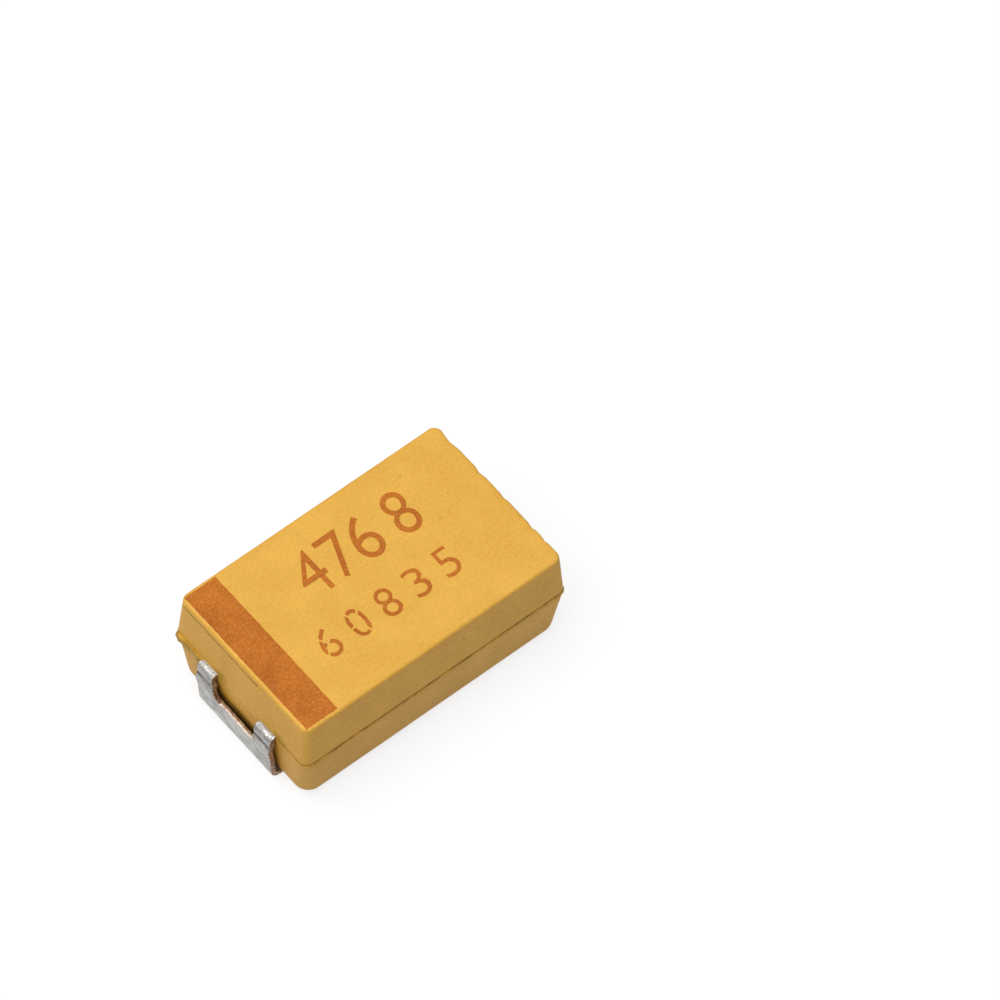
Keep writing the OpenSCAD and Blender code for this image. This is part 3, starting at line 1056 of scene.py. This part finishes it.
def make_floor():
    deselect_all()
    bpy.ops.mesh.primitive_plane_add(size=1.2, location=(0, 0, -0.00001))
    floor = bpy.context.active_object
    floor.name = "floor"
    material, nodes, links, shader = new_material(
        "pale_floor", Roughness=0.9, Specular_IOR_Level=0.0,
    )
    shader.inputs["Base Color"].default_value = (0.55, 0.55, 0.56, 1)
    seen = nodes.new("ShaderNodeBsdfPrincipled")
    seen.inputs["Base Color"].default_value = (0.22, 0.22, 0.22, 1)
    seen.inputs["Roughness"].default_value = 0.9
    seen.inputs["Specular IOR Level"].default_value = 0.0
    seen.inputs["Emission Color"].default_value = (1, 1, 1, 1)
    seen.inputs["Emission Strength"].default_value = 0.8
    path = nodes.new("ShaderNodeLightPath")
    direct = path.outputs["Is Camera Ray"]
    for ray in ("Is Glossy Ray", "Is Transmission Ray"):
        direct = maths(nodes, links, "MAXIMUM", direct, path.outputs[ray])
    mixed = nodes.new("ShaderNodeMixShader")
    links.new(direct, mixed.inputs[0])
    links.new(shader.outputs[0], mixed.inputs[1])
    links.new(seen.outputs[0], mixed.inputs[2])
    links.new(mixed.outputs[0], nodes["Material Output"].inputs["Surface"])
    floor.data.materials.append(material)


def make_world():
    world = bpy.data.worlds.new("studio")
    bpy.context.scene.world = world
    world.use_nodes = True
    nodes, links = world.node_tree.nodes, world.node_tree.links
    soft = nodes["Background"]
    soft.inputs["Color"].default_value = (0.97, 0.98, 1.0, 1)
    soft.inputs["Strength"].default_value = 0.3
    white = nodes.new("ShaderNodeBackground")
    white.inputs["Color"].default_value = (1, 1, 1, 1)
    white.inputs["Strength"].default_value = 1.0
    path = nodes.new("ShaderNodeLightPath")
    mixed = nodes.new("ShaderNodeMixShader")
    links.new(path.outputs["Is Camera Ray"], mixed.inputs[0])
    links.new(soft.outputs[0], mixed.inputs[1])
    links.new(white.outputs[0], mixed.inputs[2])
    links.new(mixed.outputs[0], nodes["World Output"].inputs["Surface"])


def make_lamp():
    lamp = bpy.data.lights.new("softbox", "AREA")
    lamp.shape = "SQUARE"
    lamp.size = 0.14
    lamp.energy = 0.235
    ob = bpy.data.objects.new("softbox", lamp)
    bpy.context.scene.collection.objects.link(ob)
    ob.location = (-0.04, 0.012, 0.15)
    ob.rotation_mode = "QUATERNION"
    ob.rotation_quaternion = Vector(ob.location).to_track_quat("Z", "Y")


def make_camera():
    """Looks down at the part over its anode end."""
    turn, rise, roll = math.radians(-40.86), math.radians(58.28), math.radians(-2.0)
    level = math.cos(rise)
    back = Vector((math.sin(turn) * level, -math.cos(turn) * level, math.sin(rise)))
    right = Vector((math.cos(turn), math.sin(turn), 0))
    up = back.cross(right)
    side = right * math.cos(roll) - up * math.sin(roll)
    top = right * math.sin(roll) + up * math.cos(roll)
    camera = bpy.data.cameras.new("camera")
    camera.lens = 408.2
    camera.sensor_width = 36
    camera.clip_start, camera.clip_end = 0.01, 10
    ob = bpy.data.objects.new("camera", camera)
    bpy.context.scene.collection.objects.link(ob)
    middle_of_part = Vector((0, 0, PARTING_Z / 1000))
    distance, shift_side, shift_top = 0.2326, 0.002647, 0.002247
    place = middle_of_part + back * distance + side * shift_side + top * shift_top
    turned = Matrix((side, top, back)).transposed().to_4x4()
    ob.matrix_world = Matrix.Translation(place) @ turned
    bpy.context.scene.camera = ob


# ---------------------------------------------------------------- assembly

RESIN = moulded_resin()
MARK = marking()
LEAD_FINISHES = [tin_plate(), sheared_edge(), smeared_lip_and_highlight()]

finish_piece(shape_case(), ["case"], [RESIN])
finish_piece(shape_seep(), [], [seeped_resin()], 60)
finish_piece(shape_band(), ["polarity_band"], [MARK])
finish_piece(shape_figures(), [], [MARK])

anode = shape_terminal("anode_lead", anode_inside, 2.0, 0.035)
mark_sheared_faces(anode)
turn_to_anode_end(anode)
finish_piece(anode, ["anode_terminal"], LEAD_FINISHES)
cathode = shape_terminal("cathode_lead", cathode_inside, 11.0, 0.025)
mark_sheared_faces(cathode)
finish_piece(cathode, ["cathode_terminal"], LEAD_FINISHES)

# Pieces inside the case: material, colour, dark colour, fineness, roughness, bump in mm, metallic
INSIDE = {
    "pellet": ("sintered_tantalum", (0.09, 0.09, 0.095), (0.04, 0.04, 0.045), 30.0, 0.8, 0.02, 0.4),
    "anode_wire": ("tantalum_wire", (0.34, 0.34, 0.36), (0.24, 0.24, 0.26), 22.0, 0.4, 0.003, 1.0),
    "wire_washer": ("washer_white", (0.84, 0.83, 0.79), (0.74, 0.73, 0.68), 12.0, 0.5, 0.003, 0.0),
    "graphite_coat": ("graphite", (0.035, 0.035, 0.036), (0.015, 0.015, 0.016), 18.0, 0.7, 0.006, 0.0),
    "silver_coat": ("silver_paint", (0.45, 0.45, 0.43), (0.33, 0.33, 0.31), 16.0, 0.5, 0.008, 0.6),
    "silver_adhesive": ("silver_glue", (0.48, 0.48, 0.46), (0.34, 0.34, 0.32), 8.0, 0.45, 0.012, 0.6),
}
for name, finish in INSIDE.items():
    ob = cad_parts[name]
    ob.data.materials.clear()
    ob.data.materials.append(plain_finish(*finish))

make_floor()
make_world()
make_lamp()
make_camera()

bpy.context.scene.view_settings.view_transform = "Standard"
